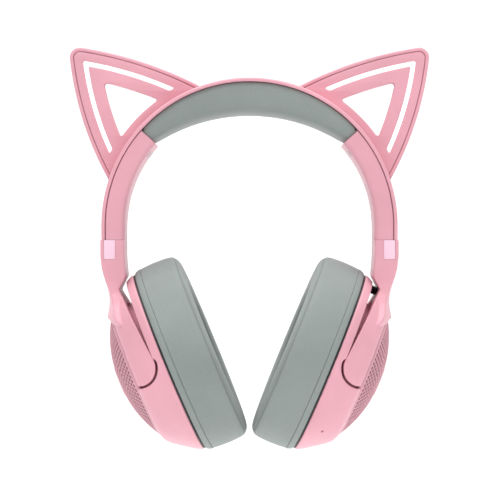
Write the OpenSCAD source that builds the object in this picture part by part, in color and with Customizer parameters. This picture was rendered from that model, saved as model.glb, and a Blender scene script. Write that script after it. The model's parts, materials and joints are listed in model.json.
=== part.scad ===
// Over-ear wireless headset with lit cat-ear frames on its headband.
// Frame: origin at the middle of the head cushion's underside, +Z up, +X to the wearer's left,
// -Y the way the wearer faces. All lengths are in millimetres and all angles in degrees.
// Left-hand pieces are drawn and the right-hand ones are their mirror images.

/* [Headband] */
// Radius of the headband's outer surface
band_r = 76.4; // [76:0.1:77]
// Drop from the crown of the outer surface to the head cushion's underside
crown_h = 18.7; // [18:0.1:19]
// Height of the seam between the headband and the yokes
seam_z = -64.5; // [-66:0.5:-63]
// Front-to-back width of the headband at the crown
crown_w = 38; // [36:1:42]
// Front-to-back width of the headband at the seam
seam_w = 26; // [25:1:28]
// Radial thickness of the headband's outer shell
shell_t = 2.3; // [2.1:0.1:2.6]
// Inner radius of the arm covers
arm_in_r = 63.8; // [63.4:0.1:64.2]
// Angle from the crown to each end of the head cushion
cushion_end = 48.4; // [46:0.2:49]
// Radius of the arc on the head cushion's underside
cushion_under_r = 90; // [86:1:96]

/* [Cat ears] */
// Front-to-back thickness of an ear
ear_t = 9; // [8:0.5:11]
// Width of the ear's outer rim
rim_w = 2; // [1.6:0.1:2.4]
// Distance from the ear's edge to its light strip
strip_in = 6.6; // [6:0.1:7]
// Width of the light strip
strip_w = 2.5; // [2:0.1:3]
// Distance from the ear's edge to its triangular window
window_in = 15.3; // [14.5:0.1:16]

/* [Cups] */
// Toe-in of each cup: how far its face leans from the vertical
cup_lean = 22.4; // [21:0.1:23]
// Distance from the middle of the headset to the middle of each cup's back rim
cup_x = 41.7; // [41:0.1:43]
// Height of the middle of each cup's back rim
cup_z = -127.7; // [-129:0.1:-127]
// Half of the cup housing's length
cup_r = 48.7; // [48:0.1:49.5]
// How much less half of a cup's width is than half of its length
cup_narrow = 5.6; // [5:0.1:6.2]
// Thickness of the ear cushion
pad_t = 20.5; // [18:0.5:22]
// Wall thickness of the cup housing
wall = 2.2; // [1.8:0.1:2.4]

/* [Sliders and pivots] */
// Angle of the slider's travel from the vertical
slide_lean = 8; // [7:0.5:9]
// Thickness of the steel slider bar
bar_t = 1.6; // [1.2:0.1:1.8]
// Width of the steel slider bar
bar_w = 14; // [12:0.5:15]
// Length of the slider bar above the seam
bar_up = 40; // [38:0.5:41]
// Radius of each pivot pin
pin_r = 1.8; // [1.5:0.1:1.9]
// Radial running clearance of a pivot pin in the cup
pin_gap = 0.05; // [0.03:0.01:0.08]

/* [Buttons] */
// Height that a button stands proud of the housing
button_out = 0.9; // [0.8:0.1:1.4]
// Clearance between a button and its hole
button_gap = 0.2; // [0.15:0.05:0.3]

/* [Hidden] */
$fn = 64;

pink = [0.91, 0.68, 0.73];
deep_pink = [0.80, 0.60, 0.66];
pale_pink = [1.0, 0.84, 0.91];
pad_grey = [0.62, 0.65, 0.64];
dark = [0.12, 0.12, 0.13];
steel = [0.72, 0.73, 0.75];
lit_white = [0.97, 0.97, 0.98];
board_green = [0.10, 0.35, 0.22];

big = 300;                              // longer than any cut
hair = 0.1;                             // parting line between fixed pieces
joint_gap = 0.3;                        // gap between pieces that move apart

// Headband, as seen from the front; band_z is the centre of its arcs
band_z = crown_h - band_r;
leg = band_z - seam_z;
shell_in_r = band_r - shell_t;
pad_out_r = shell_in_r - hair;
groove_r = shell_in_r + 0.9;
groove_half = 12;
groove_end = 51;
strip_half = 10;
strip_end = 50;
base_t = 1.4;
base_half = 15;
cushion_inset = 1.2;
cover_wall = 2;

// Screws: shank and head radii, and head height
shank_r = 1;
head_r = 1.9;
head_h = 0.9;
ear_screw_at = [27, 64.5];
arm_screw_at = 54;
arm_screw_y = 8;
ear_boss_top = 80.4;
boss_r = 2.4;

// Ear outline: inside two large circles and outside the headband
ear_out_c = [-71.9, 47.6];
ear_out_r = 166;
ear_top_c = [116.7, -160.5];
ear_top_r = 197.9;
band_c = [0, band_z];
ear_foot_r = band_r + 0.05;
ear_tip_r = 3;
strip_foot_r = 80.7;
window_foot_r = 81;
web_t = 2;
cover_t = 1.5;
led_count = 5;
led_size = 1.6;

// Sliders: t runs up the bar from the middle of the seam
seam_mid = [70.4, seam_z];
head_t = 2;
head_half = 9;
bar_root = 12;
guide_low = 1;
guide_high = 9.5;
guide_half_t = 3.1;
guide_half_w = 10.5;
notch_r = 0.6;
notch_pitch = 3.5;

// Cup frame: x runs down the cup, y is front to back, z points away from the head.
// Outer profile of the housing, as half-length and height above the rim.
flange_h = 4.7;
flange_in = 1.9;
slope_h = 12.2;
slope_in = 7.2;
shell_profile = [[cup_r, 0], [cup_r - flange_in, flange_h], [cup_r - slope_in, slope_h],
                 [cup_r - 10.9, 16.6], [cup_r - 14.5, 18.4]];
inner_profile = [[35.9, 2], [35.9, flange_h], [32.6, 18]];
inner_narrow = 6.3;
room_profile = [[37.8, 3], [37.8, 4], [34.9, 19.2]];
room_narrow = 5.2;
back_z = 16.5;
back_t = 1.5;
lip_r = 33.6;
grille_r = 34;
grille_narrow = 4.9;
grille_rim_z = 18.2;
grille_top = 26;
grille_ball = (grille_r * grille_r + pow(grille_top - grille_rim_z, 2))
              / (2 * (grille_top - grille_rim_z));
grille_steps = [34, 30, 26, 22, 18, 14, 9.5];
grille_t = 1.6;
pivot = [-4.5, 14.2];                   // in the cup's x-z plane
fork_end_r = 9.7;
shoulder_r = 10.8;
fork_rise = 4;                          // of the end's far edge above the pivot
marker_at = [68, -72.3];                // lower inner corner of the side marker, in x and z
marker_size = [6.6, 6.9];
marker_t = 0.6;
pin_in = 26;
pin_out = 32.2;

// Pieces behind the housing
baffle_t = 1;
ring_top = -baffle_t;
pad_top = -4.5;
pad_face = pad_top - pad_t;
pad_r = 50.3;
pad_hole_r = 29;
pad_hole_narrow = 3.8;
driver_r = 21;
screw_spots = [[33, 12], [33, -12], [-20, 17], [-20, -17]];

// Fittings in the left cup's side wall, each at its own angle round the oval
side_z = 8.45;
side_r = 44.15;
side_slope = (slope_in - flange_in) / (slope_h - flange_h);
power_at = 47;
volume_down_at = 60;
volume_up_at = 73;
power_r = 2.3;
volume_r = 1.9;
volume_span = 3.6;
mic_at = -46;
port_z = 8;
port_half = 4.5;
lead_x = -42.4;
lead_r = 2.4;
lead_h = 3.8;

// Where two circles cross, on the left of the line from c1 to c2 when side is 1
function meet(c1, r1, c2, r2, side) =
    let (d = norm(c2 - c1), u = (c2 - c1) / d, a = (d * d + r1 * r1 - r2 * r2) / (2 * d))
    c1 + a * u + side * sqrt(r1 * r1 - a * a) * [-u[1], u[0]];
function heading(c, p) = atan2(p[1] - c[1], p[0] - c[0]);
function arc(c, r, from, to, steps) =
    [for (i = [0:steps]) let (a = from + (to - from) * i / steps) c + r * [cos(a), sin(a)]];

// Ear outline, moved inwards by inset, above a foot of radius foot_r, with rounded corners
function ear_path(inset, foot_r, tip_r, corner_r) =
    let (tip = meet(ear_out_c, ear_out_r - inset - tip_r, ear_top_c, ear_top_r - inset - tip_r, 1),
         heel = meet(ear_out_c, ear_out_r - inset - corner_r, band_c, foot_r + corner_r, 1),
         toe = meet(ear_top_c, ear_top_r - inset - corner_r, band_c, foot_r + corner_r, -1))
    concat(
        arc(ear_out_c, ear_out_r - inset, heading(ear_out_c, heel), heading(ear_out_c, tip), 14),
        arc(tip, tip_r, heading(ear_out_c, tip), heading(ear_top_c, tip), 8),
        arc(ear_top_c, ear_top_r - inset, heading(ear_top_c, tip), heading(ear_top_c, toe), 14),
        arc(toe, corner_r, heading(ear_top_c, toe), heading(band_c, toe) + 180, 6),
        arc(band_c, foot_r, heading(band_c, toe), heading(band_c, heel), 16),
        arc(heel, corner_r, heading(band_c, heel) + 180, heading(ear_out_c, heel) + 360, 6));

// A flat shape in the x-z plane, made solid from y = from to y = to
module along_y(from, to) {
    translate([0, to, 0]) rotate([90, 0, 0]) linear_extrude(to - from) children();
}

module left_and_right() {
    children();
    mirror([1, 0, 0]) children();
}

module on_right() {
    mirror([1, 0, 0]) children();
}

// The headband's shape from the front, between two radii, with straight legs to the seam
module arch(in_r, out_r, cut_z = seam_z) {
    difference() {
        translate([0, band_z]) {
            circle(out_r);
            translate([-out_r, -leg]) square([2 * out_r, leg]);
        }
        translate([0, band_z]) circle(in_r);
        translate([-in_r, band_z - big]) square([2 * in_r, big]);
        translate([-big / 2, cut_z - big]) square([big, big]);
    }
}

// A sector about the crown, a degrees to each side
module crown_sector(a) {
    translate(band_c) polygon([[0, 0], [big * tan(a), big], [-big * tan(a), big]]);
}

// Everything on the left of the cushion's end, turned a degrees from the crown
module left_of(a) {
    translate(band_c) polygon([[0, 0], [big * tan(a), big], [big, -big], [0, -big]]);
}

// The headband's front-to-back taper, moved inwards by inset
module taper(inset) {
    slope = (crown_w - seam_w) / 2 / (crown_h - seam_z);
    low = seam_w / 2 - inset - slope * 20;
    high = crown_w / 2 - inset + slope * 20;
    rotate([90, 0, 90])
        linear_extrude(big, center = true)
            polygon([[-low, seam_z - 20], [low, seam_z - 20], [high, crown_h + 20], [-high, crown_h + 20]]);
}

// Moves a shape that stands on z = 0 to radius r, a degrees from the crown, pointing outwards
module radially(a, r, y = 0) {
    translate([r * sin(a), y, band_z + r * cos(a)]) rotate([0, a, 0]) children();
}

module headband_outer_shell() {
    color(pink) difference() {
        union() {
            intersection() {
                along_y(-crown_w / 2, crown_w / 2) arch(shell_in_r, band_r, seam_z + joint_gap / 2);
                taper(0);
            }
            left_and_right() for (y = [-arm_screw_y, arm_screw_y])
                radially(arm_screw_at, arm_in_r + cover_wall, y) cylinder(r = boss_r, h = 9.5);
        }
        along_y(-groove_half, groove_half) intersection() {
            arch(shell_in_r - 1, groove_r);
            crown_sector(groove_end);
        }
        left_and_right() {
            for (a = ear_screw_at) {
                radially(a, shell_in_r - 1) cylinder(r = head_r + 0.1, h = head_h + 1);
                radially(a, shell_in_r) cylinder(r = shank_r - 0.1, h = shell_t + 1);
            }
            for (y = [-arm_screw_y, arm_screw_y])
                radially(arm_screw_at, arm_in_r, y) cylinder(r = shank_r, h = 9.8);
        }
    }
}

module spring_strip() {
    color(steel) difference() {
        along_y(-strip_half, strip_half) intersection() {
            arch(shell_in_r + 0.05, groove_r - 0.05);
            crown_sector(strip_end);
        }
        left_and_right() radially(ear_screw_at[0], shell_in_r - 1) cylinder(r = 2.3, h = 3);
    }
}

module cushion_base() {
    color(dark) along_y(-base_half, base_half) intersection() {
        arch(pad_out_r - base_t, pad_out_r);
        crown_sector(cushion_end - 0.4);
    }
}

module head_cushion() {
    color(pad_grey) intersection() {
        along_y(-crown_w / 2, crown_w / 2) difference() {
            intersection() {
                arch(0.1, pad_out_r);
                crown_sector(cushion_end);
            }
            translate([0, -cushion_under_r]) circle(cushion_under_r, $fn = 96);
        }
        taper(cushion_inset);
        difference() {
            cube(big, center = true);
            along_y(-base_half, base_half) arch(pad_out_r - base_t, pad_out_r + 2);
        }
    }
}

module headband_wire() {
    wire_r = 0.4;
    ring_r = (shell_in_r + groove_r) / 2;
    color(dark) translate([0, 11, band_z]) rotate([90, 0, 0]) rotate([0, 0, 90 - strip_end])
        rotate_extrude(angle = 2 * strip_end) translate([ring_r, 0]) circle(wire_r, $fn = 24);
}

module screw(shank, r = shank_r) {
    cylinder(r = head_r, h = head_h);
    translate([0, 0, head_h - 0.01]) cylinder(r = r, h = shank);
}

module band_screws() {
    color(steel) left_and_right() {
        for (a = ear_screw_at)
            radially(a, shell_in_r) screw(ear_boss_top - 0.4 - shell_in_r - head_h, shank_r - 0.1);
        for (y = [-arm_screw_y, arm_screw_y])
            radially(arm_screw_at, arm_in_r, y) screw(8.5);
    }
}

module left_arm_cover() {
    end_wall = 1.7;
    color(pink) difference() {
        intersection() {
            along_y(-crown_w / 2, crown_w / 2) intersection() {
                arch(arm_in_r, pad_out_r, seam_z + joint_gap / 2);
                left_of(cushion_end + 0.15);
            }
            taper(0);
        }
        intersection() {
            along_y(-crown_w / 2, crown_w / 2) intersection() {
                arch(arm_in_r + cover_wall, pad_out_r + 1, seam_z - 1);
                left_of(cushion_end + end_wall);
            }
            taper(cover_wall);
        }
        for (y = [-arm_screw_y, arm_screw_y])
            radially(arm_screw_at, arm_in_r - 1, y) {
                cylinder(r = head_r + 0.1, h = head_h + 1);
                cylinder(r = shank_r + 0.1, h = 6);
            }
    }
}

// Left ear
module ear_shape(inset, foot_r, tip_r, corner_r = 0.3) {
    polygon(ear_path(inset, foot_r, tip_r, corner_r));
}

module ear_window(grow = 0) {
    ear_shape(window_in - grow, window_foot_r - grow, 1.4 + grow, 1.2 + grow);
}

module ear_bosses(r) {
    for (a = ear_screw_at)
        radially(a, ear_foot_r + 0.05) cylinder(r = r, h = ear_boss_top - ear_foot_r);
}

module left_ear_frame() {
    color(pink) difference() {
        union() {
            along_y(-ear_t / 2, ear_t / 2) difference() {
                ear_shape(0, ear_foot_r, ear_tip_r);
                ear_shape(rim_w, ear_foot_r - 8, 1.2);
            }
            along_y(-web_t / 2, web_t / 2) difference() {
                ear_shape(rim_w - 0.5, ear_foot_r, 1);
                ear_window();
            }
            ear_bosses(2.1);
        }
        for (a = ear_screw_at)
            radially(a, shell_in_r) cylinder(r = shank_r - 0.1, h = ear_boss_top - 0.3 - shell_in_r);
    }
}

// The light strip's V, grown by grow at its sides and ends
module light_v(grow = 0) {
    difference() {
        ear_shape(strip_in - grow, strip_foot_r, 0.6);
        ear_shape(strip_in + strip_w + grow, strip_foot_r - 8, 0.4);
    }
}

module ear_cover() {
    difference() {
        along_y(-ear_t / 2, -web_t / 2 - 0.05) difference() {
            ear_shape(rim_w + hair, ear_foot_r + hair, 1.1);
            ear_window();
        }
        along_y(-ear_t / 2 + cover_t, 0) difference() {
            ear_shape(rim_w + 1.2, ear_foot_r + 1.2, 0.8);
            ear_window(1.2);
        }
        ear_bosses(2.3);
    }
}

module left_ear_front_cover() {
    color(pink) difference() {
        ear_cover();
        along_y(-ear_t, 0) light_v();
    }
}

module left_ear_rear_cover() {
    color(pink) mirror([0, 1, 0]) ear_cover();
}

module left_ear_light_guide() {
    color(lit_white) {
        along_y(-ear_t / 2 + 0.1, -ear_t / 2 + cover_t + 0.1) light_v();
        along_y(-ear_t / 2 + cover_t, -ear_t / 2 + cover_t + 0.7) light_v(0.8);
    }
}

module left_ear_led_board() {
    color(board_green) along_y(-web_t / 2 - 0.8, -web_t / 2) light_v(0.8);
    mid = strip_in + strip_w / 2;
    color(lit_white) for (i = [0:led_count - 1]) {
        outer = ear_out_c + (ear_out_r - mid) * [cos(-9 - i * 3.1), sin(-9 - i * 3.1)];
        upper = ear_top_c + (ear_top_r - mid) * [cos(102 + i * 2.4), sin(102 + i * 2.4)];
        for (p = [outer, upper])
            translate([p[0] - led_size / 2, -web_t / 2 - 1.3, p[1] - led_size / 2])
                cube([led_size, 0.6, led_size]);
    }
}

// Slider: moves a shape whose z is t, the distance up the bar from the seam
module slide_frame() {
    translate([seam_mid[0], 0, seam_mid[1]]) rotate([0, -slide_lean, 0]) children();
}

module left_slider_guide() {
    color(dark) slide_frame() difference() {
        translate([-guide_half_t, -guide_half_w, guide_low])
            cube([2 * guide_half_t, 2 * guide_half_w, guide_high - guide_low]);
        translate([-bar_t / 2 - 0.15, -bar_w / 2 - 0.15, 0])
            cube([bar_t + 0.3, bar_w + 0.3, 20]);
    }
}

module left_slider_bar() {
    color(steel) slide_frame() difference() {
        union() {
            translate([-bar_t / 2, -bar_w / 2, -bar_root]) cube([bar_t, bar_w, bar_root + bar_up]);
            translate([-bar_t / 2, -head_half, bar_up - head_t]) cube([bar_t, 2 * head_half, head_t]);
        }
        for (i = [1:7]) for (y = [-bar_w / 2, bar_w / 2])
            translate([0, y, 1 + i * notch_pitch]) rotate([0, 90, 0])
                cylinder(r = notch_r, h = bar_t + 1, center = true, $fn = 24);
        for (t = [-9, -4]) translate([0, 0, t]) rotate([0, 90, 0])
            cylinder(r = shank_r, h = bar_t + 1, center = true, $fn = 24);
    }
}

// Cup frame
module cup_frame() {
    translate([cup_x, 0, cup_z]) rotate([0, 90 + cup_lean, 0]) children();
}

// Distance between the centres of an oval's neighbouring arcs. They meet on a 3-4-5 triangle.
function arc_shift(narrow) = narrow / 0.4;

// A solid whose outline is an oval of four arcs, each revolved about its own centre. The profile
// gives half of the oval's length at each height, and narrow is how much less its half width is.
module oval(profile, narrow = cup_narrow) {
    k = arc_shift(narrow);
    far = 100;
    for (side = [0, 1]) mirror([side, 0, 0]) intersection() {
        translate([0.6 * k, 0, 0]) revolve(profile, -0.6 * k);
        along_z() polygon([[0.6 * k, 0], [0.6 * k + 0.6 * far, 0.8 * far],
                           [0.6 * k + 0.6 * far, -0.8 * far]]);
    }
    for (side = [0, 1]) mirror([0, side, 0]) intersection() {
        translate([0, -0.8 * k, 0]) revolve(profile, 0.4 * k);
        along_z() polygon([[-0.6 * k, 0], [0.6 * k, 0], [0.6 * (k + far), 0.8 * far],
                           [-0.6 * (k + far), 0.8 * far]]);
    }
}

module revolve(profile, grow) {
    rotate_extrude($fn = 96)
        polygon(concat([[0, profile[0][1]]], [for (p = profile) [p[0] + grow, p[1]]],
                       [[0, profile[len(profile) - 1][1]]]));
}

module along_z() {
    translate([0, 0, -60]) linear_extrude(160) children();
}

module oval_disc(r, low, high, narrow = cup_narrow) {
    oval([[r, low], [r, high]], narrow);
}

// The space that the fork's arms take, as seen from the front, with an end of radius r
module fork_outline(r, low) {
    edge = pivot[0] + sqrt(r * r - fork_rise * fork_rise);
    translate(pivot) circle(r);
    polygon([[pivot[0], low[0]], [-44, low[1]], [-60, low[1] + 0.7], [-60, 40], [edge, 40],
             [edge, pivot[1]], pivot]);
}

module fork_body() {
    cup_frame() difference() {
        intersection() {
            oval(shell_profile);
            along_y(-60, 60) fork_outline(fork_end_r, [pivot[1] - fork_end_r, 9.1]);
        }
        oval(room_profile, room_narrow);
    }
}

// Neck of the yoke from the front: down the outside, round the lip and up the inside
module neck_outline() {
    top = seam_z - joint_gap / 2;
    polygon([[64.2, top], [76.7, top], [76.7, -72.8], [76.2, -79.1], [74.6, -85.3], [73.1, -91.5],
             [72.5, -96.2], [73.1, -100.9], [73.9, -104.5], [73.1, -108.2], [69, -106], [62.9, -97.5],
             [67, -90.2], [63.2, -82.7], [63.7, -79.1], [64.2, -72.8]]);
}

module yoke_screw_places() {
    slide_frame() for (t = [-9, -4]) translate([0, 0, t]) rotate([0, 90, 0]) children();
}

module left_yoke() {
    neck_half = seam_w / 2;
    color(pink) difference() {
        union() {
            fork_body();
            difference() {
                along_y(-neck_half, neck_half) neck_outline();
                cup_frame() {
                    oval(room_profile, room_narrow);
                    oval_disc(lip_r, 18, 40, room_narrow);
                }
            }
        }
        slide_frame() translate([-bar_t / 2, -bar_w / 2, -bar_root])
            cube([bar_t, bar_w, bar_root + 10]);
        yoke_screw_places() {
            translate([0, 0, -12]) cylinder(r = head_r + 0.1, h = 8.4, $fn = 32);
            translate([0, 0, -8]) cylinder(r = shank_r, h = 11, $fn = 32);
        }
        marker_block(1);
        cup_frame() pin_places() translate([0, 0, pin_in]) cylinder(r = pin_r, h = pin_out - pin_in);
    }
}

// The side marker, let into the neck's front and standing out of it by proud
module marker_block(proud) {
    translate([marker_at[0], -seam_w / 2 - proud, marker_at[1]])
        cube([marker_size[0], marker_t + proud, marker_size[1]]);
}

module left_side_marker() {
    color(pale_pink) marker_block(0);
}

module left_yoke_screws() {
    color(steel) yoke_screw_places() translate([0, 0, -3.6 - head_h]) screw(6.5);
}

// Both pivot pins lie along y; children point away from the cup's middle
module pin_places() {
    for (side = [-1, 1])
        translate([pivot[0], 0, pivot[1]]) rotate([-90 * side, 0, 0]) children();
}

module left_pivot_pins() {
    color(steel) cup_frame() pin_places()
        translate([0, 0, pin_in + 0.3]) cylinder(r = pin_r, h = pin_out - pin_in - 0.3);
}

// Left or right cup
module inset_shell() {
    oval([for (p = shell_profile) [p[0] - wall, p[1] - (p[1] > 13 ? wall / 2 : 0)]]);
}

module cup_rooms() {
    oval_disc(cup_r - 2.4, -1, 2.4);
    oval([[33.6, 2], [33.6, 4], [30.6, back_z - back_t]], inner_narrow);
    intersection() {
        inset_shell();
        translate([pivot[0] + shoulder_r + wall, -big / 2, 0]) cube([big, big, back_z - back_t]);
    }
}

module cup_shell() {
    color(pink) cup_frame() difference() {
        union() {
            difference() {
                oval(shell_profile);
                difference() {
                    along_y(-60, 60) fork_outline(shoulder_r, [flange_h + hair, flange_h + hair]);
                    oval(inner_profile, inner_narrow);
                }
                cup_rooms();
                oval_disc(grille_r + 0.1, back_z, 40, grille_narrow);
            }
            for (p = screw_spots) translate([p[0], p[1], 1.5]) cylinder(r = 2.8, h = 13.5);
            pin_places() translate([0, 0, 21]) cylinder(r = 2.9, h = 5.2);
        }
        for (x = [-15, 0, 15]) translate([x, 0, 12]) cylinder(r = 4.5, h = 6);
        for (p = screw_spots) translate([p[0], p[1], 0]) cylinder(r = shank_r, h = 9);
        pin_places() translate([0, 0, 20]) cylinder(r = pin_r + pin_gap, h = 16);
    }
}

// Moves a shape whose z points out of the housing's side wall to that wall
module on_side_wall(a) {
    k = arc_shift(cup_narrow);
    across = abs(sin(a)) > 0.8;
    centre = across ? [0, -0.8 * k * sign(sin(a)), side_z] : [0.6 * k * sign(cos(a)), 0, side_z];
    r = side_r + (across ? 0.4 * k : -0.6 * k);
    translate(centre) rotate([0, 0, a]) translate([r, 0, 0])
        rotate([0, 90 - atan(side_slope), 0]) children();
}

// A key's outline: two round ends, span apart, across the wall
module key_outline(r, span) {
    for (y = [-span / 2, span / 2]) translate([0, y]) circle(r, $fn = 32);
    if (span > 0) translate([-r, -span / 2]) square([2 * r, span]);
}

module key(a, r, span) {
    stem = 3;
    color(deep_pink) cup_frame() on_side_wall(a) {
        translate([0, 0, -stem]) linear_extrude(stem + button_out) key_outline(r, span);
        translate([0, 0, -stem - 0.8]) linear_extrude(0.81) key_outline(r + 0.6, span);
    }
}

module key_hole(a, r, span) {
    cup_frame() on_side_wall(a)
        translate([0, 0, -6]) linear_extrude(12) key_outline(r + button_gap, span);
}

module left_cup_housing() {
    color(pink) difference() {
        cup_shell();
        key_hole(power_at, power_r, 0);
        key_hole(volume_down_at, volume_r, volume_span);
        key_hole(volume_up_at, volume_r, volume_span);
        cup_frame() {
            on_side_wall(mic_at) translate([0, 0, -4]) cylinder(r = 0.6, h = 8, $fn = 24);
            translate([38, 0, port_z]) rotate([0, 90, 0])
                linear_extrude(12) key_outline(1.8, 2 * port_half - 3);
        }
    }
}

// Height of the grille's dome above the rim of the cup, and its profile moved inwards by t
function dome_z(a) = grille_top - grille_ball + sqrt(grille_ball * grille_ball - a * a);
function dome_profile(t, low) =
    concat([[grille_r - t, low]], [for (a = grille_steps) [min(a, grille_r - t), dome_z(a) - t]]);

module grille() {
    color(deep_pink) cup_frame() difference() {
        oval(dome_profile(0, back_z), grille_narrow);
        oval(dome_profile(grille_t, back_z - 1), grille_narrow);
    }
}

module baffle() {
    color(dark) cup_frame() difference() {
        union() {
            oval_disc(cup_r - 0.3, -baffle_t, 0);
            oval_disc(cup_r - 2.8, -0.5, 1.5);
        }
        translate([0, 0, -3]) cylinder(r = driver_r + 0.1, h = 8);
        for (p = screw_spots) translate([p[0], p[1], -baffle_t]) {
            translate([0, 0, -1]) cylinder(r = head_r + 0.1, h = 1 + head_h);
            cylinder(r = shank_r + 0.1, h = 5);
        }
    }
}

module cup_screws() {
    color(steel) cup_frame() for (p = screw_spots)
        translate([p[0], p[1], -baffle_t]) screw(8.5);
}

module driver_frame() {
    color(dark) cup_frame() rotate_extrude()
        polygon([[18.5, -2.2], [23, -2.2], [23, -1], [driver_r, -1], [driver_r, 5], [12.1, 5],
                 [12.1, 4], [19.6, 4], [19.6, -1.6], [18.5, -1.6]]);
}

module driver_magnet() {
    color(steel) cup_frame() translate([0, 0, 1.2]) cylinder(r = 12, h = 7.8);
}

module driver_diaphragm() {
    color(dark) cup_frame() rotate_extrude()
        polygon([[0, -1.9], [8, -1.9], [10, -0.9], [19.5, -1.6], [19.5, -1.2], [10, -0.5],
                 [8, -1.5], [0, -1.5]]);
}

module pad_ring() {
    color(pad_grey) cup_frame() difference() {
        oval([[pad_r - 0.1, pad_top], [cup_r, ring_top]]);
        oval_disc(46, pad_top - 1, -2.5);
        oval_disc(31, -6, 0, pad_hole_narrow);
    }
}

module ear_cushion() {
    color(pad_grey) cup_frame() difference() {
        oval([[pad_r - 3.3, pad_face - 1.5], [pad_r - 1.8, pad_face + 0.8], [pad_r - 0.3, pad_face + 3.5],
              [pad_r + 0.1, pad_face + 8], [pad_r, pad_top]]);
        oval([[pad_hole_r + 5.5, pad_face - 2], [pad_hole_r + 1.5, pad_face + 1.5],
              [pad_hole_r, pad_face + 5], [pad_hole_r, 0]], pad_hole_narrow);
        translate([-big / 2, -big / 2, pad_face - big]) cube(big);
    }
}

module ear_scrim() {
    color(dark) cup_frame() oval_disc(34, pad_top + 0.1, -2.5);
}

// Fittings inside the cups
module main_board() {
    color(board_green) cup_frame() translate([0, 0, 9.7]) linear_extrude(1) {
        translate([10, -20]) square([19, 40]);
        translate([28, -7]) square([10.5, 14]);
    }
}

module usb_c_port() {
    color(steel) cup_frame() translate([36, 0, port_z]) rotate([0, 90, 0]) difference() {
        linear_extrude(7.6) key_outline(1.6, 2 * port_half - 3.4);
        translate([0, 0, 1.5]) linear_extrude(8) key_outline(1.3, 2 * port_half - 3.4);
    }
}

module microphone() {
    color(steel) cup_frame() on_side_wall(mic_at) translate([0, 0, -4]) cylinder(r = 2, h = 1.4);
}

module battery() {
    color(steel) on_right() cup_frame() translate([-17, -11, 9.8]) cube([34, 22, 4.6]);
}

module left_lead() {
    color(dark) cup_frame() translate([lead_x, 0, flange_h + hair]) cylinder(r = lead_r, h = lead_h);
}

headband_outer_shell();
spring_strip();
cushion_base();
head_cushion();
headband_wire();
band_screws();
left_arm_cover();
on_right() left_arm_cover();  // right_arm_cover
left_slider_guide();
on_right() left_slider_guide();  // right_slider_guide
left_ear_frame();
left_ear_front_cover();
left_ear_rear_cover();
left_ear_light_guide();
left_ear_led_board();
on_right() left_ear_frame();  // right_ear_frame
on_right() left_ear_front_cover();  // right_ear_front_cover
on_right() left_ear_rear_cover();  // right_ear_rear_cover
on_right() left_ear_light_guide();  // right_ear_light_guide
on_right() left_ear_led_board();  // right_ear_led_board
left_slider_bar();
left_yoke();
left_side_marker();
left_pivot_pins();
left_yoke_screws();
on_right() left_slider_bar();  // right_slider_bar
on_right() left_yoke();  // right_yoke
on_right() left_side_marker();  // right_side_marker
on_right() left_pivot_pins();  // right_pivot_pins
on_right() left_yoke_screws();  // right_yoke_screws
left_cup_housing();
grille();  // left_grille
baffle();  // left_baffle
driver_frame();  // left_driver_frame
driver_magnet();  // left_driver_magnet
driver_diaphragm();  // left_driver_diaphragm
pad_ring();  // left_pad_ring
ear_cushion();  // left_ear_cushion
ear_scrim();  // left_ear_scrim
cup_screws();  // left_cup_screws
on_right() cup_shell();  // right_cup_housing
on_right() grille();  // right_grille
on_right() baffle();  // right_baffle
on_right() driver_frame();  // right_driver_frame
on_right() driver_magnet();  // right_driver_magnet
on_right() driver_diaphragm();  // right_driver_diaphragm
on_right() pad_ring();  // right_pad_ring
on_right() ear_cushion();  // right_ear_cushion
on_right() ear_scrim();  // right_ear_scrim
on_right() cup_screws();  // right_cup_screws
main_board();
usb_c_port();
microphone();
key(power_at, power_r, 0);  // power_button
key(volume_up_at, volume_r, volume_span);  // volume_up_button
key(volume_down_at, volume_r, volume_span);  // volume_down_button
left_lead();
battery();
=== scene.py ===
"""Looks of the cat-ear gaming headset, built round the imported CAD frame."""

import json
import math

import bmesh
import bpy
import numpy as np
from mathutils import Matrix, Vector


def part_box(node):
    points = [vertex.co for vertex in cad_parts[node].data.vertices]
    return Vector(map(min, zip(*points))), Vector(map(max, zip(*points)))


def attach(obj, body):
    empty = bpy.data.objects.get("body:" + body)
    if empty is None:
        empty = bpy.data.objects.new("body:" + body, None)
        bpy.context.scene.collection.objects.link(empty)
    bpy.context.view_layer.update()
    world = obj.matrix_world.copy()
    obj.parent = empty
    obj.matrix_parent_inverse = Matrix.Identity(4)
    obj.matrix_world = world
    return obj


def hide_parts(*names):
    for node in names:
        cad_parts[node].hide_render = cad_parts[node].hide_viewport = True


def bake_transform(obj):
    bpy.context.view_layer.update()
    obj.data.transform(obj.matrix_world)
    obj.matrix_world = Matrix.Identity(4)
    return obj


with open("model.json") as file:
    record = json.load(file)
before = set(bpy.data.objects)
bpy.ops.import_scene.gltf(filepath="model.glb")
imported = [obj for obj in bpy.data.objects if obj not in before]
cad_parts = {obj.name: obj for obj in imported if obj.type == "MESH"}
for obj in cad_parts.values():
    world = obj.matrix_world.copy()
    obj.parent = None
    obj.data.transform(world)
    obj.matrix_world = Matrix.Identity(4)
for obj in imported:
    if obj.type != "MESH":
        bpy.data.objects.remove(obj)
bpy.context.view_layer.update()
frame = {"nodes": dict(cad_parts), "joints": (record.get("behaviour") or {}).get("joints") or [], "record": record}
nodes = frame["nodes"]

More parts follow.
